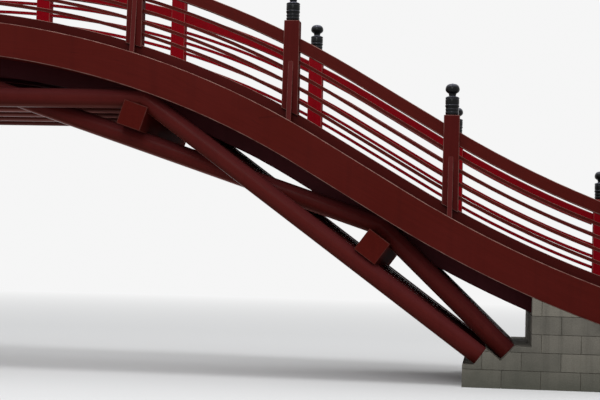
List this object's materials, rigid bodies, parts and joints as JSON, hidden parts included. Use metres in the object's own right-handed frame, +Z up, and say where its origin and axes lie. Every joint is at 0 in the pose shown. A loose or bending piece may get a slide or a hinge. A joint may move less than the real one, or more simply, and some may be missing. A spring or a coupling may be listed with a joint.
{
  "type": "timber arch footbridge",
  "caption": "Arched timber footbridge: interlaced logs and cross beams carry curved girders, a stepped deck and railed parapets with black finials, on stone abutments.",
  "frame": {"origin": "mid-span on the midline, on the ground line under the abutments", "axes": "+X along the bridge, +Y across it towards the back parapet, +Z up"},
  "size_m": [20.58, 3.34, 6.5386],
  "materials": {
    "red_paint": "weathered satin oil paint",
    "black_paint": "gloss paint on turned wood",
    "deck_boards": "worn painted boards",
    "masonry": "dressed block masonry"
  },
  "bodies": {
    "root": {"abutment_left": "masonry", "abutment_right": "masonry", "level_logs": "red_paint", "raking_logs_left": "red_paint", "raking_logs_right": "red_paint", "upper_logs_left": "red_paint", "upper_logs_right": "red_paint", "lower_logs_left": "red_paint", "lower_logs_right": "red_paint", "crown_beam": "red_paint", "upper_beam_left": "red_paint", "upper_beam_right": "red_paint", "lower_beam_left": "red_paint", "lower_beam_right": "red_paint", "inner_girders": "red_paint", "deck_carriages": "red_paint", "crown_boards": "deck_boards", "steps_left": "deck_boards", "steps_right": "deck_boards", "edge_girder_front": "red_paint", "edge_girder_back": "red_paint", "curb_front": "red_paint", "curb_back": "red_paint", "posts_front": "red_paint", "posts_back": "red_paint", "post_struts_front": "red_paint", "post_struts_back": "red_paint", "finials": "black_paint", "railing_front_1": "red_paint", "railing_front_2": "red_paint", "railing_front_3": "red_paint", "railing_front_4": "red_paint", "railing_front_5": "red_paint", "railing_front_6": "red_paint", "railing_front_7": "red_paint", "railing_front_8": "red_paint", "railing_front_9": "red_paint", "railing_back_1": "red_paint", "railing_back_2": "red_paint", "railing_back_3": "red_paint", "railing_back_4": "red_paint", "railing_back_5": "red_paint", "railing_back_6": "red_paint", "railing_back_7": "red_paint", "railing_back_8": "red_paint", "railing_back_9": "red_paint"}
  },
  "joints": []
}
